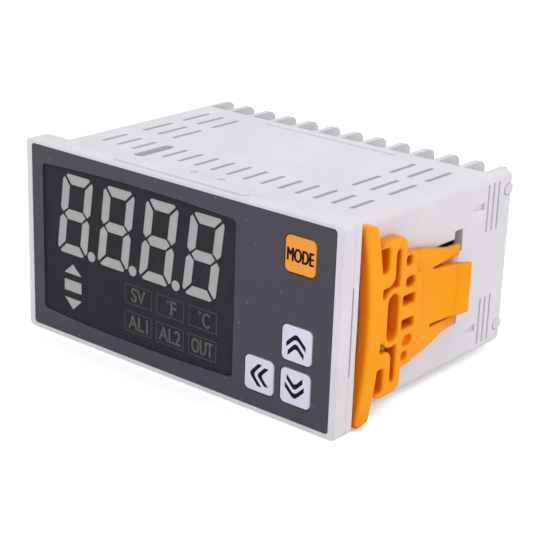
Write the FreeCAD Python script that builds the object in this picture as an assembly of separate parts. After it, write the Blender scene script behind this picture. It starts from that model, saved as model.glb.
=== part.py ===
import FreeCAD, Part
import os

from FreeCAD import Vector

os.makedirs("parts", exist_ok=True)

# Panel-mount temperature controller, 1/8 DIN. Millimetres.
# X runs across the front, Y goes into the panel, Z is up. The origin is the centre of the
# plane in which the back of the front flange seats on the panel.

# Front frame and flange
front_width = 96.0
front_height = 48.0
front_corner = 1.0
frame_depth = 4.0
flange_depth = 2.0
front_y = -(frame_depth + flange_depth)
frame_wall = 1.7
face_plate = 1.2
rim_round = 0.25
joint_bevel = 0.15

# Case sleeve
case_width = 90.9
case_height = 44.74
case_corner = 2.0
side_length = 63.15
roof_length = 54.4
side_wall = 2.3
rear_side_wall = 1.5
roof_wall = 1.8
inner_half_width = case_width / 2 - side_wall
inner_half_height = case_height / 2 - roof_wall
rear_half_width = case_width / 2 - rear_side_wall
rear_round = 2.7

# Front sheet, window and keys
sheet_width = 92.2
sheet_height = 46.0
sheet_corner = 0.9
sheet_thick = 0.5
sheet_sink = 0.05
sheet_y = front_y + sheet_sink
plate_y = sheet_y + sheet_thick
window_x = (-42.45, 18.85)
window_z = 0.3
window_end_height = 36.8
window_bow = 0.95
window_corner = 1.0
sheet_gap = 0.04
rim_gap = 0.08
display_opening = 0.35
pipe_sink = 0.04
key_size = 8.2
key_corner = 1.3
key_gap = 0.25
key_proud = 0.25
key_edge = 0.35
key_places = {"mode": (36.9, 15.1), "up": (36.9, -5.05), "shift": (26.75, -15.1), "down": (36.9, -15.1)}

# Display figures
digit_base = (-38.2, -24.52, -10.84, 2.84)
digit_foot = -2.27
digit_width = 10.0
digit_height = 20.0
digit_slant = 0.125
bar_width = 2.4
point_radius = 1.23
point_offset = (11.7, 1.04)
light_pipe = 1.0

# Terminals
pitch = 7.29
terminal_count = 12
fin_thick = 1.7
slab_y = (48.5, 54.0)
spine_half_height = 6.3
spine_y = 60.6
terminal_z = 14.4
fin_round = 2.2
fin_y = 64.0
plate_thick = 0.8
clamp_size = 5.2
head_radius = 2.5
head_height = 1.8
shank_radius = 1.45

# Mounting bracket
bracket_gap = 0.2
bracket_inner = case_width / 2 + bracket_gap
bracket_outer = 48.7
bracket_plate = 47.6
bracket_drop = -0.75
bar_tip_z = (23.4, 22.5)
bar_front = (0.35, 3.5)
bar_back = (5.4, 8.9)
bar_tip_round = 1.3
bar_edge_round = 0.9
spring_edge_round = 0.3
tongue_half = (6.75, 6.05)

# Slots in the case flank that carry the bracket
slot_y = (26.0, 43.15)
slot_inner = 6.4
slot_outer = 9.9
notch_y = 39.9
notch_outer = 11.75

# Circuit boards
board_thick = 1.6
front_board_y = 2.0
board_z = 12.4
board_half_width = 41.5
board_y = (4.6, 47.6)
tail_z = (board_z - 0.95, board_z - 0.05)

x_axis = Vector(1, 0, 0)
y_axis = Vector(0, 1, 0)
z_axis = Vector(0, 0, 1)


def box(x, y, z):
    """A block from its low and high corner along each axis."""
    return Part.makeBox(x[1] - x[0], y[1] - y[0], z[1] - z[0], Vector(x[0], y[0], z[0]))


def edges_along(shape, axis):
    """The straight edges of a shape that run along an axis."""
    straight = [edge for edge in shape.Edges if isinstance(edge.Curve, Part.Line)]
    return [edge for edge in straight if abs(edge.Curve.Direction.dot(axis)) > 0.9999]


def soft_box(x, y, z, radius, axis):
    """A block whose four edges along an axis are rounded."""
    block = box(x, y, z)
    return block.makeFillet(radius, edges_along(block, axis))


def centred(width, height, y, radius, x=0.0, z=0.0):
    """A rounded rectangle of the front view, carried from one depth to another."""
    across = (x - width / 2, x + width / 2)
    return soft_box(across, y, (z - height / 2, z + height / 2), radius, y_axis)


def prism(points, depth, place):
    """A flat outline swept along the normal that its points leave free."""
    wire = Part.makePolygon([place(*point) for point in points + points[:1]])
    return Part.Face(wire).extrude(depth)


def front_prism(points, y):
    """An outline in the front view (x, z), from one depth to another."""
    return prism(points, Vector(0, y[1] - y[0], 0), lambda a, b: Vector(a, y[0], b))


def side_prism(points, x):
    """An outline in the side view (y, z), from one x to another."""
    return prism(points, Vector(x[1] - x[0], 0, 0), lambda a, b: Vector(x[0], a, b))


def cylinder(radius, start, axis, length):
    return Part.makeCylinder(radius, length, Vector(*start), axis)


def fuse(shapes):
    return shapes[0].multiFuse(shapes[1:]).removeSplitter()


def mirrored_z(shape):
    return shape.mirror(Vector(0, 0, 0), z_axis)


def mirrored_x(shape):
    return shape.mirror(Vector(0, 0, 0), x_axis)


def both_sides(shape):
    return [shape, mirrored_x(shape)]


def both_rows(shape):
    return [shape, mirrored_z(shape)]


def save(node, shape):
    solids = shape.Solids
    kept = solids[0] if len(solids) == 1 else Part.makeCompound(solids)
    kept.exportStep("parts/%s.step" % node)
    print("%-26s solids %3d  faces %4d  volume %9.1f" % (node, len(solids), len(shape.Faces), shape.Volume))


# ---------------------------------------------------------------- front

def window_outline(grow, y):
    """The window's barrel shape: straight ends and gently bowed long edges."""
    left, right = window_x[0] - grow, window_x[1] + grow
    half = window_end_height / 2 + grow
    middle = (left + right) / 2
    corners = [Vector(left, y[0], window_z - half), Vector(left, y[0], window_z + half),
               Vector(right, y[0], window_z + half), Vector(right, y[0], window_z - half)]
    crown = Vector(middle, y[0], window_z + half + window_bow)
    sole = Vector(middle, y[0], window_z - half - window_bow)
    edges = [Part.makeLine(corners[0], corners[1]),
             Part.Arc(corners[1], crown, corners[2]).toShape(),
             Part.makeLine(corners[2], corners[3]),
             Part.Arc(corners[3], sole, corners[0]).toShape()]
    plate = Part.Face(Part.Wire(edges)).extrude(Vector(0, y[1] - y[0], 0))
    return plate.makeFillet(window_corner + grow, edges_along(plate, y_axis))


def key_block(place, grow, y, corner=key_corner):
    x, z = place
    size = key_size + 2 * grow
    return centred(size, size, y, corner + grow, x, z)


def front_edges(shape, y):
    """The edges of a shape that lie wholly in one front-facing plane."""
    return [edge for edge in shape.Edges if all(abs(v.Y - y) < 1e-6 for v in edge.Vertexes)]


def front_bezel():
    back = -flange_depth
    body = centred(front_width, front_height, (front_y, back), front_corner)
    body = body.makeFillet(rim_round, front_edges(body, front_y))
    body = body.makeChamfer(joint_bevel, front_edges(body, back))
    recess_size = (sheet_width + 2 * rim_gap, sheet_height + 2 * rim_gap)
    recess = centred(*recess_size, (front_y - 1, plate_y), sheet_corner)
    plate_back = plate_y + face_plate
    hollow_size = (front_width - 2 * frame_wall, front_height - 2 * frame_wall)
    hollow = centred(*hollow_size, (plate_back, back + 1), sheet_corner)
    display = window_outline(display_opening, (front_y, back))
    keyholes = [key_block(place, key_gap, (front_y, back)) for place in key_places.values()]
    body = body.cut(recess).cut(hollow).cut(display)
    for hole in keyholes:
        body = body.cut(hole)
    # shallow grip strips on the top and bottom edges of the frame
    strip_half, strip_y, strip_rise = 20.0, (-4.6, -2.6), 0.3
    strip = soft_box((-strip_half, strip_half), strip_y, (0, front_height / 2 + strip_rise), 0.6, z_axis)
    strip = strip.cut(box((-strip_half, strip_half), strip_y, (0, front_height / 2 - 1)))
    return fuse([body] + both_rows(strip))


def front_overlay():
    sheet = centred(sheet_width, sheet_height, (sheet_y, plate_y), sheet_corner)
    sheet = sheet.cut(window_outline(sheet_gap, (front_y - 1, 0)))
    for place in key_places.values():
        sheet = sheet.cut(key_block(place, key_gap, (front_y - 1, 0)))
    return sheet


def display_window():
    return window_outline(0, (sheet_y, plate_y))


def digit_bars():
    """The seven bars of one upright digit, from its foot, as outlines (across, up)."""
    middle = digit_height / 2
    reach = middle - bar_width
    side = [(0, 1.35), (0.95, 0.35), (bar_width, 1.6), (bar_width, reach - 0.55), (0.5, middle - 0.85),
            (0, middle - 1.4)]
    cap = [(1.05, middle - 0.45), (1.5, middle), (digit_width - 1.5, middle),
           (digit_width - 1.05, middle - 0.45), (digit_width - bar_width - 0.45, reach),
            (bar_width + 0.45, reach)]
    waist = [(1.5, 0), (2.7, 1.25), (digit_width - 2.7, 1.25), (digit_width - 1.5, 0),
             (digit_width - 2.7, -1.25), (2.7, -1.25)]
    bars = [waist]
    for up in (1, -1):
        bars.append([(across, up * height) for across, height in cap])
        bars.append([(across, up * height) for across, height in side])
        bars.append([(digit_width - across, up * height) for across, height in side])
    return [[(across, middle + height) for across, height in bar] for bar in bars]


def digit_segments(y):
    solids = []
    for base in digit_base:
        for bar in digit_bars():
            outline = [(base + across + digit_slant * up, digit_foot + up) for across, up in bar]
            solids.append(front_prism(outline, y))
    for base in digit_base[:-1]:
        centre = (base + point_offset[0], y[0], digit_foot + point_offset[1])
        solids.append(cylinder(point_radius, centre, y_axis, y[1] - y[0]))
    return solids


def status_lamps(y):
    """Deviation lamps: an arrow up, a level bar and an arrow down."""
    left, middle, right = -35.85, -32.95, -30.05
    rising = [(left, -7.3), (right, -7.3), (middle, -4.75)]
    level = [(left, -11.8), (right, -11.8), (right, -9.0), (left, -9.0)]
    falling = [(left, -13.65), (middle, -16.35), (right, -13.65)]
    return [front_prism(outline, y) for outline in (rising, level, falling)]


pipe_y = (plate_y + pipe_sink, plate_y + pipe_sink + light_pipe)


def display_reflector():
    """The dark block behind the window: a face that fills the frame's opening, then a narrower body."""
    face, step = plate_y + 2 * pipe_sink, plate_y + face_plate
    left, right = window_x[0] + 1.2, window_x[1] - 1.2
    body = box((left, right), (step - 0.1, front_board_y), (window_z - 17.4, window_z + 17.4))
    body = fuse([body, window_outline(display_opening - 0.15, (face, step))])
    return body.cut(Part.makeCompound(digit_segments(pipe_y) + status_lamps(pipe_y)))


# ---------------------------------------------------------------- keys and switches

cap_y = (sheet_y - key_proud, plate_y + face_plate + 0.1)
retainer_y = (cap_y[1], cap_y[1] + 0.8)
plunger_y = (-2.6, -1.0)
switch_y = (-1.4, front_board_y)


def key_top(place):
    """A key cap with the flange that holds it in the frame and the stem behind it."""
    x, z = place
    cap = key_block(place, 0, cap_y)
    cap = cap.makeFillet(key_edge, front_edges(cap, cap_y[0]))
    flange = centred(key_size + 1.4, key_size + 1.4, retainer_y, key_corner, x, z)
    stem = cylinder(1.6, (x, retainer_y[1], z), y_axis, plunger_y[0] - retainer_y[1])
    return fuse([cap, flange, stem])


def switch_button(place):
    x, z = place
    return cylinder(1.7, (x, plunger_y[0], z), y_axis, plunger_y[1] - plunger_y[0])


def tact_switch(place):
    x, z = place
    body = soft_box((x - 3, x + 3), switch_y, (z - 3, z + 3), 0.4, y_axis)
    return body.cut(cylinder(1.75, (x, switch_y[0] - 1, z), y_axis, 2.0))


# ---------------------------------------------------------------- case

def vent_slot(x, width, y, low, high):
    """A round-ended slot in the roof or floor, along the case's length."""
    return soft_box((x - width / 2, x + width / 2), y, (low, high), width * 0.49, z_axis)


def vents():
    slots = []
    gap, width = 5.04, 1.2
    front_row, middle_row, back_row = (9.4, 17.9), (23.5, 34.1), (38.0, 48.2)
    low, high = inner_half_height - 1, case_height / 2 + 1
    columns = [(column - 7.5) * gap for column in range(16)]
    for index, x in enumerate(columns):
        slots += both_rows(vent_slot(x, width, front_row, low, high))
        if abs(x) > 5 * gap:
            slots += both_rows(vent_slot(x, width, middle_row, low, high))
            slots += both_rows(vent_slot(x, width, back_row, low, high))
    release = vent_slot(columns[3], 2.9, (5.7, front_row[1]), low, high)
    return slots + [release]


def flank_cuts():
    """What is cut into the right flank: bracket slots, rack, grip grooves, arrows, latch slots."""
    skin = case_width / 2
    deep = (inner_half_width - 1, skin + 1)
    cuts = [box(deep, slot_y, (slot_inner, slot_outer))]
    cuts.append(box(deep, (notch_y, slot_y[1]), (slot_inner, notch_outer)))
    groove_y = (53.35, 55.55, 57.75)
    for y in groove_y:
        cuts.append(soft_box((skin - 0.45, skin + 1), (y - 0.35, y + 0.35), (8.3, 20.1), 0.3, x_axis))
    arrow = side_prism([(46.2, 15.2), (51.75, 14.3), (51.75, 16.1)], (skin - 1, skin + 1))
    wedge = [(skin + 1, 46.0), (skin, 46.0), (skin - 0.6, 51.75), (skin + 1, 51.75)]
    cuts.append(arrow.common(prism(wedge, Vector(0, 0, 20), lambda a, b: Vector(a, b, 5))))
    latch = soft_box((skin - 2, skin + 1), (60.1, side_length + 4), (15.75, 18.65), 1.44, x_axis)
    cuts.append(latch)
    cuts = cuts + [mirrored_z(cut) for cut in cuts]
    rack_y, rack_pitch, rack_depth, rack_half = 33.0, 1.0, 0.55, 6.35
    for tooth in range(9):
        y = rack_y + tooth * rack_pitch
        profile = [(skin + 0.5, y), (skin - rack_depth, y), (skin + 0.02, y + 0.8), (skin + 0.5, y + 0.8)]
        cuts.append(prism(profile, Vector(0, 0, 2 * rack_half), lambda a, b: Vector(a, b, -rack_half)))
    return cuts


def rear_case():
    sleeve = centred(case_width, case_height, (-0.5, side_length), case_corner)
    sleeve = sleeve.cut(rear_corner_waste())
    flange = centred(front_width, front_height, (-flange_depth, 0), front_corner)
    flange = flange.makeChamfer(joint_bevel, front_edges(flange, -flange_depth))
    body = fuse([sleeve, flange])
    tall = (-inner_half_height, inner_half_height)
    mouth = box((-inner_half_width, inner_half_width), (-5, slab_y[0]), tall)
    rear_bay = box((-rear_half_width, rear_half_width), (slab_y[0], 80), tall)
    roof_end = box((-rear_half_width, rear_half_width), (roof_length, 80), (-40, 40))
    body = body.cut(fuse([mouth, rear_bay, roof_end]))
    cuts = flank_cuts()
    cuts += [mirrored_x(cut) for cut in cuts]
    # prying slits between flange and frame, at mid height of each end
    slit = box((front_width / 2 - 1.2, front_width), (-flange_depth - 1, -flange_depth + 0.35), (-10.3, 9.7))
    cuts += both_sides(slit)
    # ejector marks and a witness line on the roof
    roof = case_height / 2
    for x in (-3.9, 4.3):
        cuts.append(cylinder(0.9, (x, 5.5, roof - 0.3), z_axis, 1))
    cuts.append(soft_box((-21, 20), (50.8, 51.3), (roof - 0.2, roof + 1), 0.2, z_axis))
    return body.cut(Part.makeCompound(cuts + vents()))


def rear_corner_waste():
    """What the rounding of the flanks' rear corners takes away."""
    top, back = case_height / 2, side_length
    r = rear_round
    keep = cylinder(r, (-60, back - r, top - r), x_axis, 120)
    block = box((-60, 60), (back - r, back + 1), (top - r, top + 1))
    waste = block.cut(keep)
    return Part.makeCompound([waste, mirrored_z(waste)])


# ---------------------------------------------------------------- terminals

def terminal_columns():
    return [(column - (terminal_count - 1) / 2) * pitch for column in range(terminal_count)]


def barrier_fin(x, thick=fin_thick):
    """One barrier between terminals: it steps up over the roof's end and rounds off behind."""
    top, back = case_height / 2 - 0.05, fin_y
    inner = inner_half_height - 0.1
    step = roof_length + 0.15
    outline = [(slab_y[1] - 0.5, spine_half_height - 1), (slab_y[1] - 0.5, inner), (step, inner), (step, top),
               (back, top), (back, spine_half_height - 1)]
    fin = side_prism(outline, (x - thick / 2, x + thick / 2))
    corner = [edge for edge in edges_along(fin, x_axis)
              if edge.Vertexes[0].Y > back - 0.01 and edge.Vertexes[0].Z > top - 0.01]
    return fin.makeFillet(fin_round, corner)


def terminal_block():
    reach = rear_half_width - 0.05
    height = inner_half_height - 0.05
    slab = box((-reach, reach), slab_y, (-height, height))
    spine = box((-reach, reach), (slab_y[1] - 0.5, spine_y), (-spine_half_height, spine_half_height))
    pieces = [slab, spine]
    for column in range(1, terminal_count):
        x = (column - terminal_count / 2) * pitch
        pieces += both_rows(barrier_fin(x))
    cheek_thick = 1.1
    cheek = barrier_fin(reach - cheek_thick / 2, cheek_thick)
    latch_y, latch_z, latch_half = (60.4, 63.9), 17.2, 1.34
    latch = soft_box((reach - 0.5, case_width / 2 + 0.05), latch_y,
                     (latch_z - latch_half, latch_z + latch_half), latch_half * 0.98, x_axis)
    for side_piece in both_rows(cheek) + both_rows(latch):
        pieces += both_sides(side_piece)
    body = fuse(pieces)
    holes = []
    for x in terminal_columns():
        holes += both_rows(cylinder(1.5, (x, 50.0, terminal_z), y_axis, 6))
        holes += both_rows(box((x - 0.8, x + 0.8), (slab_y[0] - 1, slab_y[1] + 1), tail_z))
    return body.cut(Part.makeCompound(holes))


def terminal_plate(x):
    """A conductor plate with its screw hole and the tail that runs in to the board."""
    face = slab_y[1]
    plate = box((x - 2.6, x + 2.6), (face, face + plate_thick), (terminal_z - 4.6, terminal_z + 4.8))
    tail = box((x - 0.75, x + 0.75), (board_y[1] - 3.0, face), (tail_z[0] + 0.05, tail_z[1] - 0.05))
    bore = cylinder(1.55, (x, face - 1, terminal_z), y_axis, 3)
    return fuse([plate, tail]).cut(bore)


def terminal_clamp(x):
    face = slab_y[1] + plate_thick
    half = clamp_size / 2
    clamp = box((x - half, x + half), (face, face + plate_thick), (terminal_z - half, terminal_z + half))
    return clamp.cut(cylinder(1.55, (x, face - 1, terminal_z), y_axis, 3))


def terminal_screw(x):
    """A pan-head screw with a cross recess."""
    seat = slab_y[1] + 2 * plate_thick
    head = cylinder(head_radius, (x, seat, terminal_z), y_axis, head_height)
    rim = [edge for edge in head.Edges if edge.Length > 10 and edge.Vertexes[0].Y > seat + 0.1]
    head = head.makeFillet(0.5, rim[:1])
    shank = cylinder(shank_radius, (x, 50.2, terminal_z), y_axis, seat - 50.2)
    recess_y = (seat + head_height - 0.9, seat + head_height + 1)
    cross = [box((x - 1.5, x + 1.5), recess_y, (terminal_z - 0.3, terminal_z + 0.3)),
             box((x - 0.3, x + 0.3), recess_y, (terminal_z - 1.5, terminal_z + 1.5))]
    return fuse([head, shank]).cut(fuse(cross))


def in_every_terminal(maker):
    solids = []
    for x in terminal_columns():
        solids += both_rows(maker(x))
    return Part.makeCompound(solids)


# ---------------------------------------------------------------- mounting bracket

def bow(depths, reach, x):
    """An edge of the pressure bar: its tips lie near the panel and its middle is drawn back."""
    tip, middle = depths
    return Part.Arc(Vector(x, tip, -reach), Vector(x, middle, 0), Vector(x, tip, reach)).toShape()


def outer_rim(shape, x):
    """The edges of a shape that lie in its outward face."""
    return [edge for edge in shape.Edges if all(abs(v.X - x) < 1e-6 for v in edge.Vertexes)]


def pressure_bar():
    """The bowed bar that bears on the panel with its two sloped tips."""
    x = bracket_inner
    front_z, back_z = bar_tip_z
    edges = [bow(bar_front, front_z, x), bow(bar_back, back_z, x)]
    for side in (-1, 1):
        front_tip = Vector(x, bar_front[0], side * front_z)
        edges.append(Part.makeLine(front_tip, Vector(x, bar_back[0], side * back_z)))
    face = Part.Face(Part.Wire(Part.__sortEdges__(edges)))
    bar = face.extrude(Vector(bracket_outer - x, 0, 0))
    bar = bar.makeFillet(bar_tip_round, edges_along(bar, x_axis))
    return bar.makeFillet(bar_edge_round, outer_rim(bar, bracket_outer))


def band(y, z, radius, x):
    """A rounded block of the spring, given in the side view."""
    return soft_box(x, y, z, radius, x_axis)


def spring_loop(x):
    """The upper serpentine: up from the bar, over a broad arch and down to the plate."""
    through = (x[0] - 1, x[1] + 1)
    arch = band((6.8, 16.45), (12.0, 18.1), 2.5, x)
    strokes = band((6.8, 12.6), (7.45, 17.0), 2.4, x).fuse(band((14.2, 16.45), (4.0, 15.0), 0.3, x))
    root = band((6.0, 9.8), (7.45, 11.0), 0.3, x)
    loop = fuse([arch, strokes, root])
    first_slot = band((5.6, 9.95), (11.1, 16.8), 0.9, through)
    second_slot = band((12.6, 14.2), (1.0, 15.4), 0.78, through)
    hook_gap = box(through, (5.6, 7.0), (11.5, 20.0))
    return loop.cut(fuse([first_slot, second_slot, hook_gap]))


def spring_foot(x, shoulder, pocket_z, recess):
    """Where the serpentine curls round an eye and runs into the plate."""
    outline = [(14.0, 3.9), (14.0, shoulder), (18.6, shoulder), (20.8, shoulder - 0.5), (20.8, 3.9)]
    curl = side_prism(outline, x).common(band((14.2, 30.0), (3.9, 20.0), 2.4, x))
    eye = band((16.7, 20.0), (5.8, 8.1), 0.95, recess)
    return curl.cut(eye).cut(band((16.45, 18.5), pocket_z, 0.4, recess))


def spring_ring(x):
    """The long eye in the middle, webbed to the bar and strutted to the plate."""
    through = (x[0] - 1, x[1] + 1)
    hole = band((10.5, 14.35), (-5.5, 5.5), 1.9, through)
    eye = band((8.9, 15.95), (-6.9, 6.9), 3.2, x)
    web = box(x, (7.0, 10.4), (-5.1, 5.1))
    strut = box(x, (15.6, 21.6), (-1.7, 1.7))
    return fuse([eye, web, strut]).cut(hole)


def softened(spring):
    """A spring with the edges of its outward face rounded."""
    return spring.makeFillet(spring_edge_round, outer_rim(spring, bracket_outer))


def base_plate():
    """The plate on the flank and the two arms that reach back beside the tongue."""
    outline = [(20.6, 13.0), (24.6, 12.6), (30.0, 11.4), (34.0, 10.3), (36.5, 10.0), (40.4, 9.8), (40.4, 7.2),
               (28.6, 7.2), (28.6, 0), (20.6, 0)]
    half = side_prism(outline, (bracket_inner, bracket_plate))
    rib = band((20.4, 23.2), (-8.3, 8.3), 0.7, (bracket_inner, bracket_outer))
    return fuse([half, mirrored_z(half), rib])


def arm_ramp():
    """What is taken off an arm's outward face, so that it dips towards its slot."""
    profile = [(bracket_plate - 0.8, 41.0), (bracket_plate - 0.05, 30.6), (bracket_plate + 1, 30.6),
               (bracket_plate + 1, 41.0)]
    return prism(profile, Vector(0, 0, 8), lambda a, b: Vector(a, b, 6.8))


def tongue():
    """The release tongue: it hollows outward from the flank and ends in a thick thumb lip."""
    inner, outer = bracket_inner, bracket_plate
    root, tip = tongue_half
    start, sag, end = (outer, 29.0), (outer + 0.45, 33.0), (outer + 1.3, 36.4)
    hollow = Part.Arc(*[Vector(x, y, -root) for x, y in (start, sag, end)]).toShape()
    rest = [end, (outer + 1.7, 36.8), (50.1, 40.0), (50.1, 40.9), (49.2, 40.9), (47.4, 38.4), (46.5, 37.0),
            (46.4, 34.8), (inner, 33.8), (inner, 28.0), (outer, 28.0), start]
    outline = Part.makePolygon([Vector(x, y, -root) for x, y in rest])
    wire = Part.Wire(Part.__sortEdges__([hollow] + outline.Edges))
    sheet = Part.Face(wire).extrude(Vector(0, 0, 2 * root))
    plan = [(27.0, -root), (27.0, root), (41.5, tip), (41.5, -tip)]
    return sheet.common(side_prism(plan, (inner - 1, 52.0)))


def slot_hook():
    """The foot of an arm: a leg through the flank slot and a lip behind the wall."""
    wall = case_width / 2 - side_wall
    leg = box((wall - 0.95, bracket_inner + 0.5), (34.4, 38.2), (7.45, 8.9))
    lip = box((wall - 0.95, wall - 0.3), (35.2, 37.9), (7.45, 11.1))
    return fuse([leg, lip])


def bracket():
    """One moulding: bar, springs, plate, tongue and hooks, with the springs' outward edges rounded."""
    deep = (bracket_inner, bracket_outer)
    through, shallow = (bracket_inner - 1, bracket_outer + 1), (bracket_outer - 1.2, bracket_outer + 1)
    loop = spring_loop(deep)
    upper = fuse([loop, spring_foot(deep, 13.8, (10.9, 13.1), through)])
    lower = mirrored_z(fuse([loop, spring_foot(deep, 12.9, (9.5, 11.4), shallow)]))
    springs = [softened(spring) for spring in (upper, spring_ring(deep), lower)]
    body = fuse([pressure_bar(), base_plate(), tongue()] + springs + both_rows(slot_hook()))
    body = body.cut(Part.makeCompound(both_rows(arm_ramp())))
    body.translate(Vector(0, 0, bracket_drop))
    return body


# ---------------------------------------------------------------- inside

def boards():
    front = soft_box((-42.0, 42.0), (front_board_y, front_board_y + board_thick), (-19.6, 19.6), 0.8, y_axis)
    upper = soft_box((-board_half_width, board_half_width), board_y, (board_z, board_z + board_thick),
                     0.8, z_axis)
    return front, upper, mirrored_z(upper)


def transformer():
    """An E-core with its coil former standing on the lower board."""
    floor = -board_z
    core = box((-30.0, -8.0), (18.0, 34.0), (floor, floor + 18.0))
    window = box((-27.0, -11.0), (17.0, 35.0), (floor + 3.0, floor + 15.0))
    leg = box((-22.0, -16.0), (18.0, 34.0), (floor + 2.5, floor + 15.5))
    coil = soft_box((-26.8, -11.2), (14.5, 37.5), (floor + 3.2, floor + 14.8), 1.5, z_axis)
    bore = box((-22.1, -15.9), (17.9, 34.1), (floor, floor + 20.0))
    core = fuse([core.cut(window), leg])
    return core, coil.cut(bore)


def capacitor():
    """A can electrolytic standing on the lower board, with its crimp groove."""
    can = cylinder(6.3, (4.0, 38.0, -board_z), z_axis, 20.0)
    groove = Part.makeTorus(6.9, 1.0, Vector(4.0, 38.0, -board_z + 2.6), z_axis)
    return can.cut(groove)


def relays():
    """Three relays hanging from the upper board, in a row."""
    height = (board_z - 15.5, board_z)
    return [soft_box((x, x + 10.0), (24.0, 44.0), height, 0.8, z_axis) for x in (14.5, 26.0)]


def controller_chip():
    return soft_box((-5.0, 5.0), (10.0, 20.0), (board_z - 1.4, board_z), 0.5, z_axis)


def headers():
    """Angle headers that join the front board to the two long boards."""
    solids = []
    for x in (-34.0, 16.0):
        strip = box((x, x + 18.0), (front_board_y + board_thick, board_y[0] + 2.6), (board_z - 2.6, board_z))
        solids += both_rows(strip)
    return Part.makeCompound(solids)


# ---------------------------------------------------------------- write the pieces

save("front_bezel", front_bezel())
save("front_overlay", front_overlay())
save("display_window", display_window())
save("display_reflector", display_reflector())
save("digit_segments", Part.makeCompound(digit_segments(pipe_y)))
save("status_lamps", Part.makeCompound(status_lamps(pipe_y)))
for key_name, key_place in key_places.items():
    save("key_%s" % key_name, key_top(key_place))
    save("switch_button_%s" % key_name, switch_button(key_place))
save("tact_switches", Part.makeCompound([tact_switch(place) for place in key_places.values()]))
front_board, upper_board, lower_board = boards()
save("front_board", front_board)
save("upper_board", upper_board)
save("lower_board", lower_board)
save("board_headers", headers())
core, winding = transformer()
save("transformer_core", core)
save("transformer_winding", winding)
save("filter_capacitor", capacitor())
save("output_relays", Part.makeCompound(relays()))
save("microcontroller", controller_chip())
save("rear_case", rear_case())
save("terminal_block", terminal_block())
save("terminal_plates", in_every_terminal(terminal_plate))
save("terminal_clamps", in_every_terminal(terminal_clamp))
save("terminal_screws", in_every_terminal(terminal_screw))
right = bracket()
save("bracket_right", right)
save("bracket_left", mirrored_x(right))
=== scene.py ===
import math

import bpy
from mathutils import Matrix, Vector


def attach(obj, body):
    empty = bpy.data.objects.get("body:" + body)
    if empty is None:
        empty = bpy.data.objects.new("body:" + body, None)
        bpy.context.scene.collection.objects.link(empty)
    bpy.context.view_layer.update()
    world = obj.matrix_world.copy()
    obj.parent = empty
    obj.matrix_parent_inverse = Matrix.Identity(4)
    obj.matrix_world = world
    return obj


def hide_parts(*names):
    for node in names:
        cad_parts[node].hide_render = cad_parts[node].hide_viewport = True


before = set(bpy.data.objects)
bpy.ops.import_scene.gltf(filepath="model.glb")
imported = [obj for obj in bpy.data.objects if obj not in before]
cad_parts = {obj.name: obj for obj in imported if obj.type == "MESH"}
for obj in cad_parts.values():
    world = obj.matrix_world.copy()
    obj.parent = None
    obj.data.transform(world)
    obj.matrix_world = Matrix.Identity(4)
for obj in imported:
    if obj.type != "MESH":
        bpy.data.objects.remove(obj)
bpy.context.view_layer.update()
mm = 0.001
waveBand = 0.314  # how far apart a wave texture's bands stand at scale 1
print("frame loaded: %d nodes" % len(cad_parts))


def srgb(code):
    # a hex colour as seen, turned to the linear values that shaders take
    parts = [int(code[i:i + 2], 16) / 255 for i in (1, 3, 5)]
    return [p / 12.92 if p <= 0.04045 else ((p + 0.055) / 1.055) ** 2.4 for p in parts] + [1.0]


def addNode(tree, kind, settings=None, links=None):
    # one node with its own settings, its socket values, its colour stops and what feeds it
    node = tree.nodes.new(kind)
    for key, value in (settings or {}).items():
        if key == "stops":
            band = node.color_ramp
            while len(band.elements) < len(value):
                band.elements.new(0.5)
            for element, (position, code) in zip(band.elements, value):
                element.position = position
                element.color = srgb(code)
        elif isinstance(key, str) and hasattr(node, key):
            setattr(node, key, value)
        else:
            node.inputs[key].default_value = value
    for key, source in (links or {}).items():
        tree.links.new(source, node.inputs[key])
    return node


def newMaterial(name, settings):
    # a material with one principled shader, and handles on its tree and object coordinates
    material = bpy.data.materials.new(name)
    material.use_nodes = True
    tree = material.node_tree
    tree.nodes.clear()
    shader = addNode(tree, "ShaderNodeBsdfPrincipled", settings)
    addNode(tree, "ShaderNodeOutputMaterial", links={"Surface": shader.outputs[0]})
    place = addNode(tree, "ShaderNodeTexCoord").outputs["Object"]
    return material, tree, shader, place


mouldSkin = {"cloud": 14, "depth": 0.05}  # width of the cloudy patches and depth of the grain, mm
mouldedLook = {  # grain, soften and the reach of the painted recess shade are in mm
    "caseGrey": {"base": "#DAD6DA", "shade": "#D4D0D5",
                 "grain": 0.45, "relief": 0.10, "rough": 0.48, "soften": 0.22, "gloss": 0.5},
    "terminalGrey": {"base": "#D8D4D8", "shade": "#D0CCD1",
                     "grain": 0.45, "relief": 0.10, "rough": 0.5, "soften": 0.22, "gloss": 0.5},
    "bracketOrange": {"base": "#F79F00", "shade": "#F69800",
                      "grain": 0.6, "relief": 0.06, "rough": 0.5, "soften": 0.8, "gloss": 0.12,
                      # the bracket's second, darker orange is painted shade for its recesses and close corners
                      "deep": "#DE5600", "deepReach": 7.0},
    "keyIvory": {"base": "#DAD8E8", "shade": "#D4D2E2",
                 "grain": 0.3, "relief": 0.04, "rough": 0.42, "soften": 0.3, "gloss": 0.5},
    "keyOrange": {"base": "#F69E20", "shade": "#F29718",
                  "grain": 0.3, "relief": 0.04, "rough": 0.42, "soften": 0.3, "gloss": 0.4},
    "reflectorBlack": {"base": "#3C3B41", "shade": "#38373D",
                       "grain": 0.5, "relief": 0.02, "rough": 0.85, "soften": 0.05, "gloss": 0.1},
    "switchBlack": {"base": "#1C1C1E", "shade": "#161618",
                    "grain": 0.4, "relief": 0.06, "rough": 0.5, "soften": 0.1, "gloss": 0.5},
    "relayBlue": {"base": "#2C56A0", "shade": "#274C90",
                  "grain": 0.4, "relief": 0.05, "rough": 0.35, "soften": 0.2, "gloss": 0.5},
}


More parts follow.
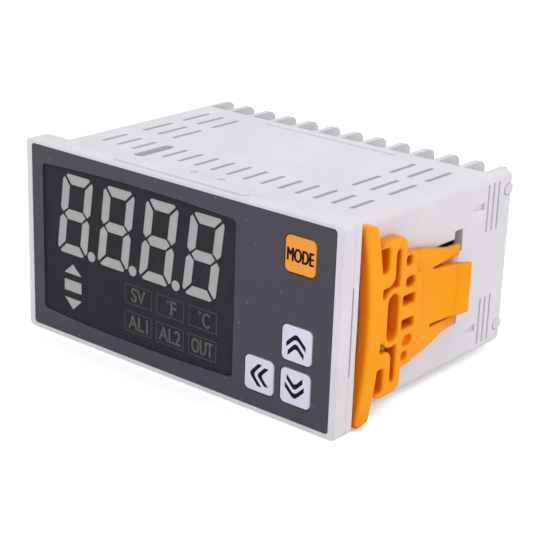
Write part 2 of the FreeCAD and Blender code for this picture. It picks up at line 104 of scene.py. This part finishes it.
def mouldedPlastic(name, look):
    # injection-moulded ABS or polycarbonate from a spark-eroded tool: an even satin skin with a very
    # fine grain, slightly cloudy in tone, whose edges are never sharp
    settings = {"Roughness": look["rough"], "IOR": 1.53, "Specular IOR Level": look["gloss"]}
    material, tree, shader, place = newMaterial(name, settings)
    grain = addNode(tree, "ShaderNodeTexNoise", {"Scale": 1 / (look["grain"] * mm), "Detail": 3.0},
                    {"Vector": place})
    cloud = addNode(tree, "ShaderNodeTexNoise", {"Scale": 1 / (mouldSkin["cloud"] * mm), "Detail": 4.0},
                    {"Vector": place})
    tone = addNode(tree, "ShaderNodeValToRGB", {"stops": [(0.35, look["shade"]), (0.65, look["base"])]},
                   {0: cloud.outputs["Fac"]})
    tree.links.new(tone.outputs[0], shader.inputs["Base Color"])
    if "deep" in look:
        # painted shade: where ambient occlusion finds walls close by, the base colour is mixed towards a
        # darker, fuller orange, standing in for the shade and bounced light in recesses
        recessShadeMask = addNode(tree, "ShaderNodeAmbientOcclusion",
                          {"samples": 6, "Distance": look["deepReach"] * mm})
        blend = addNode(tree, "ShaderNodeMix", {"data_type": "RGBA", 6: srgb(look["deep"])},
                        {0: recessShadeMask.outputs["AO"], 7: tone.outputs[0]})
        tree.links.new(blend.outputs[2], shader.inputs["Base Color"])
    edge = addNode(tree, "ShaderNodeBevel", {"samples": 4, "Radius": look["soften"] * mm})
    relief = addNode(tree, "ShaderNodeBump", {"Strength": look["relief"], "Distance": mouldSkin["depth"] * mm},
                     {"Height": grain.outputs["Fac"], "Normal": edge.outputs[0]})
    tree.links.new(relief.outputs[0], shader.inputs["Normal"])
    return material


plastics = {name: mouldedPlastic(name, look) for name, look in mouldedLook.items()}


sheetLook = {"base": "#3A3844", "speck": "#8A8892", "speckEvery": 2.4, "grain": 0.3, "relief": 0.12,
             "depth": 0.04, "rough": 0.5, "gloss": 0.35}
windowLook = {"tint": "#3C3B41", "cover": 0.2, "ripple": 22, "relief": 0.04, "depth": 0.2, "rough": 0.2,
              "gloss": 0.0}
diffuserLook = {"base": "#FFFAF9", "shade": "#F8F1EF", "cloud": 3, "rough": 0.45}


def printedFilm(look):
    # polycarbonate film with a fine velvet texture, printed charcoal on its back: flat, a little
    # mottled, with sparse pale motes of dust
    settings = {"Roughness": look["rough"], "IOR": 1.58, "Specular IOR Level": look["gloss"]}
    material, tree, shader, place = newMaterial("printedFilm", settings)
    grain = addNode(tree, "ShaderNodeTexNoise", {"Scale": 1 / (look["grain"] * mm), "Detail": 2.0},
                    {"Vector": place})
    motes = addNode(tree, "ShaderNodeTexVoronoi", {"Scale": 1 / (look["speckEvery"] * mm)},
                    {"Vector": place})
    tone = addNode(tree, "ShaderNodeValToRGB", {"stops": [(0.0, look["speck"]), (0.1, look["base"])]},
                   {0: motes.outputs["Distance"]})
    tree.links.new(tone.outputs[0], shader.inputs["Base Color"])
    relief = addNode(tree, "ShaderNodeBump", {"Strength": look["relief"], "Distance": look["depth"] * mm},
                     {"Height": grain.outputs["Fac"]})
    tree.links.new(relief.outputs[0], shader.inputs["Normal"])
    return material


def smokedAcrylic(look):
    # cast acrylic dyed smoke grey, with a coat that kills glare: dark over the display, without a shine
    # of its own, and pale parts show through
    settings = {"Base Color": srgb(look["tint"]), "Alpha": look["cover"], "Roughness": look["rough"],
                "IOR": 1.49, "Specular IOR Level": look["gloss"]}
    material, tree, shader, place = newMaterial("smokedAcrylic", settings)
    ripple = addNode(tree, "ShaderNodeTexNoise", {"Scale": 1 / (look["ripple"] * mm), "Detail": 1.0},
                     {"Vector": place})
    relief = addNode(tree, "ShaderNodeBump", {"Strength": look["relief"], "Distance": look["depth"] * mm},
                     {"Height": ripple.outputs["Fac"]})
    tree.links.new(relief.outputs[0], shader.inputs["Normal"])
    return material


def milkyDiffuser(look):
    # acrylic loaded with white pigment, unlit: an even milky face, barely uneven in depth
    material, tree, shader, place = newMaterial("milkyDiffuser", {"Roughness": look["rough"], "IOR": 1.49})
    cloud = addNode(tree, "ShaderNodeTexNoise", {"Scale": 1 / (look["cloud"] * mm), "Detail": 2.0},
                    {"Vector": place})
    tone = addNode(tree, "ShaderNodeValToRGB", {"stops": [(0.3, look["shade"]), (0.7, look["base"])]},
                   {0: cloud.outputs["Fac"]})
    tree.links.new(tone.outputs[0], shader.inputs["Base Color"])
    return material


film = printedFilm(sheetLook)
acrylic = smokedAcrylic(windowLook)
diffuser = milkyDiffuser(diffuserLook)


metalLook = {  # mark and sheet are the spacing of the rolling marks and of the sheets, mm
    "zincPlate": {"bright": "#CFCDC6", "dull": "#B4B2AA", "rough": 0.32, "mark": 0.9, "depth": 0.03},
    "laminations": {"bright": "#8C8D92", "dull": "#5A5B60", "rough": 0.42, "sheet": 0.5, "depth": 0.05},
}
boardLook = {"mask": "#1F6B3A", "track": "#2F8B4E", "pad": "#B9B59A", "trackEvery": 9.6, "padEvery": 5,
             "copper": 0.05}
windingLook = {"tape": "#D9A92B", "lap": "#C2921D", "turn": 2.4, "thick": 0.06}
sleeveLook = {"sleeve": "#1E2430", "band": "#B8BCC2", "bandEvery": 10}
chipLook = {"epoxy": "#1A1A1C", "grain": 0.25, "depth": 0.03}


def zincPlatedSteel(look):
    # pressed or rolled steel with bright zinc: satin metal with faint rolling marks one way
    settings = {"Metallic": 1.0, "Roughness": look["rough"]}
    material, tree, shader, place = newMaterial("zincPlatedSteel", settings)
    stretch = addNode(tree, "ShaderNodeMapping", {"Scale": (1.0, 1.0, 8.0)}, {"Vector": place})
    marks = addNode(tree, "ShaderNodeTexNoise", {"Scale": 1 / (look["mark"] * mm), "Detail": 4.0},
                    {"Vector": stretch.outputs[0]})
    tone = addNode(tree, "ShaderNodeValToRGB", {"stops": [(0.3, look["dull"]), (0.7, look["bright"])]},
                   {0: marks.outputs["Fac"]})
    tree.links.new(tone.outputs[0], shader.inputs["Base Color"])
    relief = addNode(tree, "ShaderNodeBump", {"Strength": 0.1, "Distance": look["depth"] * mm},
                     {"Height": marks.outputs["Fac"]})
    tree.links.new(relief.outputs[0], shader.inputs["Normal"])
    return material


def laminatedSteel(look):
    # stacked silicon-steel sheets: thin dark joints between grey edges
    settings = {"Metallic": 1.0, "Roughness": look["rough"]}
    material, tree, shader, place = newMaterial("laminatedSteel", settings)
    sheets = addNode(tree, "ShaderNodeTexWave",
                     {"bands_direction": "Y", "Scale": waveBand / (look["sheet"] * mm)}, {"Vector": place})
    tone = addNode(tree, "ShaderNodeValToRGB", {"stops": [(0.1, look["dull"]), (0.4, look["bright"])]},
                   {0: sheets.outputs["Fac"]})
    tree.links.new(tone.outputs[0], shader.inputs["Base Color"])
    relief = addNode(tree, "ShaderNodeBump", {"Strength": 0.3, "Distance": look["depth"] * mm},
                     {"Height": sheets.outputs["Fac"]})
    tree.links.new(relief.outputs[0], shader.inputs["Normal"])
    return material


def solderMaskBoard(look):
    # glass-epoxy board under green solder mask: raised copper tracks show as paler lines
    material, tree, shader, place = newMaterial("solderMaskBoard", {"Roughness": 0.3, "IOR": 1.5})
    tracks = addNode(tree, "ShaderNodeTexBrick",
                     {"Scale": 1 / (look["trackEvery"] * mm), "Mortar Size": 0.05, "Color1": srgb(look["mask"]),
                      "Color2": srgb(look["mask"]), "Mortar": srgb(look["track"])}, {"Vector": place})
    pads = addNode(tree, "ShaderNodeTexVoronoi", {"Scale": 1 / (look["padEvery"] * mm)}, {"Vector": place})
    spot = addNode(tree, "ShaderNodeValToRGB", {"stops": [(0.08, "#FFFFFF"), (0.1, "#000000")]},
                   {0: pads.outputs["Distance"]})
    blend = addNode(tree, "ShaderNodeMix", {"data_type": "RGBA", 7: srgb(look["pad"])},
                    {0: spot.outputs[0], 6: tracks.outputs["Color"]})
    tree.links.new(blend.outputs[2], shader.inputs["Base Color"])
    relief = addNode(tree, "ShaderNodeBump", {"Strength": 0.3, "Distance": look["copper"] * mm},
                     {"Height": tracks.outputs["Fac"]})
    tree.links.new(relief.outputs[0], shader.inputs["Normal"])
    return material


def windingTape(look):
    # polyester tape lapped round the coil: glossy amber with an edge at each turn
    material, tree, shader, place = newMaterial("windingTape", {"Roughness": 0.22, "IOR": 1.64})
    laps = addNode(tree, "ShaderNodeTexWave",
                   {"bands_direction": "Z", "wave_profile": "SAW", "Scale": waveBand / (look["turn"] * mm)},
                   {"Vector": place})
    tone = addNode(tree, "ShaderNodeValToRGB", {"stops": [(0.0, look["lap"]), (0.2, look["tape"])]},
                   {0: laps.outputs["Fac"]})
    tree.links.new(tone.outputs[0], shader.inputs["Base Color"])
    relief = addNode(tree, "ShaderNodeBump", {"Strength": 0.4, "Distance": look["thick"] * mm},
                     {"Height": laps.outputs["Fac"]})
    tree.links.new(relief.outputs[0], shader.inputs["Normal"])
    return material


def shrunkSleeve(look):
    # PVC sleeve shrunk over the can: glossy, with pale polarity bands up its side
    material, tree, shader, place = newMaterial("shrunkSleeve", {"Roughness": 0.25, "IOR": 1.54})
    bands = addNode(tree, "ShaderNodeTexWave",
                    {"bands_direction": "X", "Scale": 1 / (look["bandEvery"] * mm)}, {"Vector": place})
    tone = addNode(tree, "ShaderNodeValToRGB", {"stops": [(0.9, look["sleeve"]), (0.93, look["band"])]},
                   {0: bands.outputs["Fac"]})
    tree.links.new(tone.outputs[0], shader.inputs["Base Color"])
    return material


def mouldedEpoxy(look):
    # epoxy transfer-moulded round the chip: near-black, dull, with a fine blasted grain
    settings = {"Base Color": srgb(look["epoxy"]), "Roughness": 0.6}
    material, tree, shader, place = newMaterial("mouldedEpoxy", settings)
    grain = addNode(tree, "ShaderNodeTexNoise", {"Scale": 1 / (look["grain"] * mm)}, {"Vector": place})
    relief = addNode(tree, "ShaderNodeBump", {"Strength": 0.2, "Distance": look["depth"] * mm},
                     {"Height": grain.outputs["Fac"]})
    tree.links.new(relief.outputs[0], shader.inputs["Normal"])
    return material


zinc = zincPlatedSteel(metalLook["zincPlate"])
board = solderMaskBoard(boardLook)

finishes = {
    "front_bezel": plastics["caseGrey"], "rear_case": plastics["caseGrey"],
    "terminal_block": plastics["terminalGrey"],
    "bracket_right": plastics["bracketOrange"], "bracket_left": plastics["bracketOrange"],
    "key_mode": plastics["keyOrange"], "key_up": plastics["keyIvory"], "key_shift": plastics["keyIvory"],
    "key_down": plastics["keyIvory"], "display_reflector": plastics["reflectorBlack"],
    "switch_button_mode": plastics["switchBlack"], "switch_button_up": plastics["switchBlack"],
    "switch_button_shift": plastics["switchBlack"], "switch_button_down": plastics["switchBlack"],
    "tact_switches": plastics["switchBlack"], "board_headers": plastics["switchBlack"],
    "output_relays": plastics["relayBlue"], "front_overlay": film, "display_window": acrylic,
    "digit_segments": diffuser, "status_lamps": diffuser, "front_board": board, "upper_board": board,
    "lower_board": board, "microcontroller": mouldedEpoxy(chipLook),
    "transformer_core": laminatedSteel(metalLook["laminations"]),
    "transformer_winding": windingTape(windingLook), "filter_capacitor": shrunkSleeve(sleeveLook),
    "terminal_plates": zinc, "terminal_clamps": zinc, "terminal_screws": zinc,
}
for name, material in finishes.items():
    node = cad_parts[name]
    node.data.materials.clear()
    node.data.materials.append(material)
print("materials set on %d nodes" % len(finishes))


softLook = {"step": 0.24, "passes": 7, "strength": 0.5}  # mesh step in mm, and how hard it is smoothed


def settledMesh(piece):
    # the mesh of a piece with its modifiers applied, or of a text object
    bpy.context.view_layer.update()
    return bpy.data.meshes.new_from_object(piece.evaluated_get(bpy.context.evaluated_depsgraph_get()))


def addSoftBracket(name, body, look):
    # the bracket as it leaves the mould, with every edge and corner rounded: it stands for the CAD node
    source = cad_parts[name]
    piece = bpy.data.objects.new(name + "Soft", source.data.copy())
    piece.matrix_world = source.matrix_world.copy()
    bpy.context.collection.objects.link(piece)
    remesh = piece.modifiers.new("even", "REMESH")
    remesh.mode = "VOXEL"
    remesh.voxel_size = look["step"] * mm
    smooth = piece.modifiers.new("round", "SMOOTH")
    smooth.factor = look["strength"]
    smooth.iterations = look["passes"]
    mesh = settledMesh(piece)
    piece.modifiers.clear()
    piece.data = mesh
    mesh.shade_smooth()
    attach(piece, body)
    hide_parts(name)
    print("%s: %d faces" % (piece.name, len(mesh.polygons)))


addSoftBracket("bracket_right", "right_bracket", softLook)
addSoftBracket("bracket_left", "left_bracket", softLook)


inkSkin = {"thread": 0.4, "depth": 0.01}  # printing mesh and how far the ink varies, mm
inkLook = {
    "brownInk": {"code": "#1E0F04", "rough": 0.6, "gloss": 0.1},
    "charcoalInk": {"code": "#131118", "rough": 0.6, "gloss": 0.1},
    "legendInk": {"code": "#837C78", "rough": 0.6, "gloss": 0.3},
    "frameInk": {"code": "#565250", "rough": 0.6, "gloss": 0.3},
}


def printedInk(name, look):
    # screen-printed ink: flat colour, very slightly uneven where the mesh laid it down
    settings = {"Base Color": srgb(look["code"]), "Roughness": look["rough"],
                "Specular IOR Level": look["gloss"]}
    material, tree, shader, place = newMaterial(name, settings)
    mesh = addNode(tree, "ShaderNodeTexNoise", {"Scale": 1 / (inkSkin["thread"] * mm)}, {"Vector": place})
    relief = addNode(tree, "ShaderNodeBump", {"Strength": 0.1, "Distance": inkSkin["depth"] * mm},
                     {"Height": mesh.outputs["Fac"]})
    tree.links.new(relief.outputs[0], shader.inputs["Normal"])
    return material


inks = {name: printedInk(name, look) for name, look in inkLook.items()}


layerStep = 0.0004  # mm between two passes of the same word, so that they never share a plane


def addFlat(name, corners, faces, ink, body):
    # a flat mark in the front view, its corners in millimetres across, up and in depth
    mesh = bpy.data.meshes.new(name)
    mesh.from_pydata([(x * mm, y * mm, z * mm) for x, z, y in corners], [], faces)
    mesh.materials.append(ink)
    piece = bpy.data.objects.new(name, mesh)
    bpy.context.collection.objects.link(piece)
    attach(piece, body)
    return piece


def addWord(name, word, area, y, ink, body, weight):
    # a word fitted to its printed area: left, right, bottom, top in millimetres; printing it again a
    # little to each side thickens its strokes
    curve = bpy.data.curves.new(name, "FONT")
    curve.body = word
    source = bpy.data.objects.new(name + "Source", curve)
    bpy.context.collection.objects.link(source)
    mesh = settledMesh(source)
    bpy.data.objects.remove(source)
    across = [v.co.x for v in mesh.vertices]
    up = [v.co.y for v in mesh.vertices]
    left, right, bottom, top = area
    wide = (right - left) / (max(across) - min(across))
    tall = (top - bottom) / (max(up) - min(up))
    corners, faces = [], []
    for layer, (aside, rise) in enumerate(((0, 0), (-1, 0), (1, 0), (0, -0.5), (0, 0.5))):
        start = len(corners)
        for v in mesh.vertices:
            x = left + aside * weight + (v.co.x - min(across)) * wide
            z = bottom + rise * weight + (v.co.y - min(up)) * tall
            corners.append((x, z, y - layer * layerStep))
        faces += [[start + index for index in face.vertices] for face in mesh.polygons]
    return addFlat(name, corners, faces, ink, body)


def chevron(tip, spread, depth, stroke, bend):
    # one V-shaped stroke pointing up with a rounded bend, as pairs of outer and inner corners
    rise = stroke * math.hypot(spread, depth) / spread
    corners = []
    for share in (-1, -bend, -bend / 2, 0, bend / 2, bend, 1):
        drop = depth * (abs(share) if abs(share) >= bend else bend / 2 + share ** 2 / (2 * bend))
        corners += [(spread * share, tip - drop), (spread * share, tip - drop - rise)]
    return corners


def doubleChevron(name, centre, quarterTurns, y, body, look):
    # the two nested strokes of an arrow key, turned to point its way
    corners, faces = [], []
    for tip, spread, depth in look["strokes"]:
        start = len(corners)
        corners += chevron(tip, spread, depth, look["stroke"], look["bend"])
        faces += [(i, i + 1, i + 3, i + 2) for i in range(start, len(corners) - 2, 2)]
    cosine, sine = ((1, 0), (0, 1), (-1, 0), (0, -1))[quarterTurns]
    x0, z0 = centre
    turned = [(x0 + x * cosine - z * sine, z0 + x * sine + z * cosine, y) for x, z in corners]
    return addFlat(name, turned, faces, inks["charcoalInk"], body)


keyMarks = {  # in mm: front is how far forward the marks lie, strokes are tip, half width and height
    "front": -6.204, "stroke": 0.88, "bend": 0.3, "strokes": [(2.75, 2.65, 2.5), (0.58, 2.2, 2.2)],
    "mode": (33.5, 40.5, 13.6, 16.55), "modeWeight": 0.16,
    "arrows": [("upMark", (36.8, -5.05), 0, "up_key"), ("shiftMark", (26.75, -15.1), 1, "shift_key"),
               ("downMark", (36.8, -15.1), 2, "down_key")],
}
addWord("modeWord", "MODE", keyMarks["mode"], keyMarks["front"], inks["brownInk"], "mode_key",
        keyMarks["modeWeight"])
for name, centre, turns, body in keyMarks["arrows"]:
    doubleChevron(name, centre, turns, keyMarks["front"], body, keyMarks)

legendMarks = {  # in mm; each word has its column, row, place across its frame and width
    "depth": -5.38, "line": 0.36, "weight": 0.1,
    "columns": [(-15.4, -6.5), (-5.2, 3.6), (4.9, 13.6)],
    "rows": [(-9.7, -4.55), (-16.6, -11.4)],
    "words": [("SV", 0, 0, 0.5, 4.4), ("F", 1, 0, 0.62, 1.7), ("C", 2, 0, 0.62, 2.1),
              ("AL1", 0, 1, 0.5, 6.2), ("AL2", 1, 1, 0.5, 6.7), ("OUT", 2, 1, 0.5, 6.4)],
    "wordHeight": 3.5,
    "degree": {"sides": 20, "outer": 0.45, "inner": 0.22, "ahead": 0.9, "below": 0.4},
}


def addLegends(look):
    # the unlit legends under the figures: a thin frame round each, with its word
    corners, faces = [], []
    line = look["line"]
    for left, right in look["columns"]:
        for bottom, top in look["rows"]:
            start = len(corners)
            corners += [(left, bottom), (right, bottom), (right, top), (left, top),
                        (left + line, bottom + line), (right - line, bottom + line),
                        (right - line, top - line), (left + line, top - line)]
            for i in range(4):
                j = (i + 1) % 4
                faces.append((start + i, start + j, start + 4 + j, start + 4 + i))
    corners = [(x, z, look["depth"]) for x, z in corners]
    addFlat("legendFrames", corners, faces, inks["frameInk"], "controller")
    for word, column, row, share, width in look["words"]:
        left, right = look["columns"][column]
        bottom, top = look["rows"][row]
        middle = left + (right - left) * share
        foot = (bottom + top - look["wordHeight"]) / 2
        area = (middle - width / 2, middle + width / 2, foot, foot + look["wordHeight"])
        addWord("legend%s" % word, word, area, look["depth"], inks["legendInk"], "controller", look["weight"])
        if len(word) == 1:
            ring = look["degree"]
            centre = (area[0] - ring["ahead"], area[3] - ring["below"])
            addDegree("degree%s" % word, centre, look["depth"], ring)


def addDegree(name, centre, y, ring):
    # a small ring before a unit letter
    corners, faces = [], []
    for i in range(ring["sides"]):
        angle = 2 * math.pi * i / ring["sides"]
        for radius in (ring["outer"], ring["inner"]):
            x, z = centre[0] + radius * math.cos(angle), centre[1] + radius * math.sin(angle)
            corners.append((x, z, y))
        j = (i + 1) % ring["sides"]
        faces.append((2 * i, 2 * j, 2 * j + 1, 2 * i + 1))
    addFlat(name, corners, faces, inks["legendInk"], "controller")


addLegends(legendMarks)
print("printed marks added")


studioLook = {  # rest is the height of the table top in mm; lamps give their place and size in m, and watts
    "floor": "#F4F4F4", "table": 6, "lift": 0.35, "rest": -24.32,
    "world": 0.82, "sky": (0.97, 0.98, 1.0, 1), "aim": (0, 0.02, 0),
    "lamps": [("keyLight", (0.55, 0.0, 0.77), 0.6, 2.78), ("fillLight", (-0.55, -0.8, 0.45), 0.7, 1.7)],
}


def addFloor(look):
    # a pale matt table top that keeps the shadow and reads white to the eye
    bpy.ops.mesh.primitive_plane_add(size=look["table"], location=(0, 0, look["rest"] * mm))
    floor = bpy.context.object
    floor.name = "floor"
    settings = {"Base Color": srgb(look["floor"]), "Roughness": 0.9}
    material, tree, shader, place = newMaterial("paleTable", settings)
    rays = addNode(tree, "ShaderNodeLightPath")
    lift = addNode(tree, "ShaderNodeMath", {"operation": "MULTIPLY", 1: look["lift"]},
                   {0: rays.outputs["Is Camera Ray"]})
    shader.inputs["Emission Color"].default_value = (1, 1, 1, 1)
    tree.links.new(lift.outputs[0], shader.inputs["Emission Strength"])
    floor.data.materials.append(material)


def addWorld(look):
    # an even pale surround: white to the eye, in gloss and through clear parts, softer as a lamp
    world = bpy.data.worlds.new("studio")
    world.use_nodes = True
    tree = world.node_tree
    tree.nodes.clear()
    rays = addNode(tree, "ShaderNodeLightPath")
    seen = addNode(tree, "ShaderNodeMath", {"operation": "MAXIMUM"},
                   {0: rays.outputs["Is Camera Ray"], 1: rays.outputs["Is Transmission Ray"]})
    direct = addNode(tree, "ShaderNodeMath", {"operation": "MAXIMUM"},
                     {0: seen.outputs[0], 1: rays.outputs["Is Glossy Ray"]})
    soft = addNode(tree, "ShaderNodeBackground", {"Color": look["sky"], "Strength": look["world"]})
    white = addNode(tree, "ShaderNodeBackground", {"Color": (1, 1, 1, 1), "Strength": 1.0})
    mix = addNode(tree, "ShaderNodeMixShader",
                  links={0: direct.outputs[0], 1: soft.outputs[0], 2: white.outputs[0]})
    addNode(tree, "ShaderNodeOutputWorld", links={"Surface": mix.outputs[0]})
    bpy.context.scene.world = world


def addSoftbox(name, place, size, power, target):
    # a square softbox aimed at the case
    data = bpy.data.lights.new(name, "AREA")
    data.size = size
    data.energy = power
    lamp = bpy.data.objects.new(name, data)
    lamp.location = place
    aim = Vector(target) - Vector(place)
    lamp.rotation_euler = aim.to_track_quat("-Z", "Y").to_euler()
    bpy.context.collection.objects.link(lamp)


cameraLook = {"place": (219.92, -240.38, 119.89), "lens": 100.81, "sensor": 36,  # all in mm
              "right": (0.76687511, 0.64093864, 0.03316968), "up": (-0.24312037, 0.24228265, 0.93925055),
              "ahead": (-0.59396553, 0.7283521, -0.34162577)}


def addCamera(look):
    # stands at the right front corner, a little above the case
    data = bpy.data.cameras.new("camera")
    data.lens = look["lens"]
    data.sensor_width = look["sensor"]
    camera = bpy.data.objects.new("camera", data)
    right, up, ahead = (Vector(look[key]).normalized() for key in ("right", "up", "ahead"))
    turn = Matrix((right, up, -ahead)).transposed().to_4x4()
    camera.matrix_world = Matrix.Translation(Vector(look["place"]) * mm) @ turn
    bpy.context.collection.objects.link(camera)
    bpy.context.scene.camera = camera


addFloor(studioLook)
addWorld(studioLook)
for name, place, size, power in studioLook["lamps"]:
    addSoftbox(name, place, size, power, studioLook["aim"])
addCamera(cameraLook)
bpy.context.scene.view_settings.view_transform = "Standard"
print("floor, light and camera set")
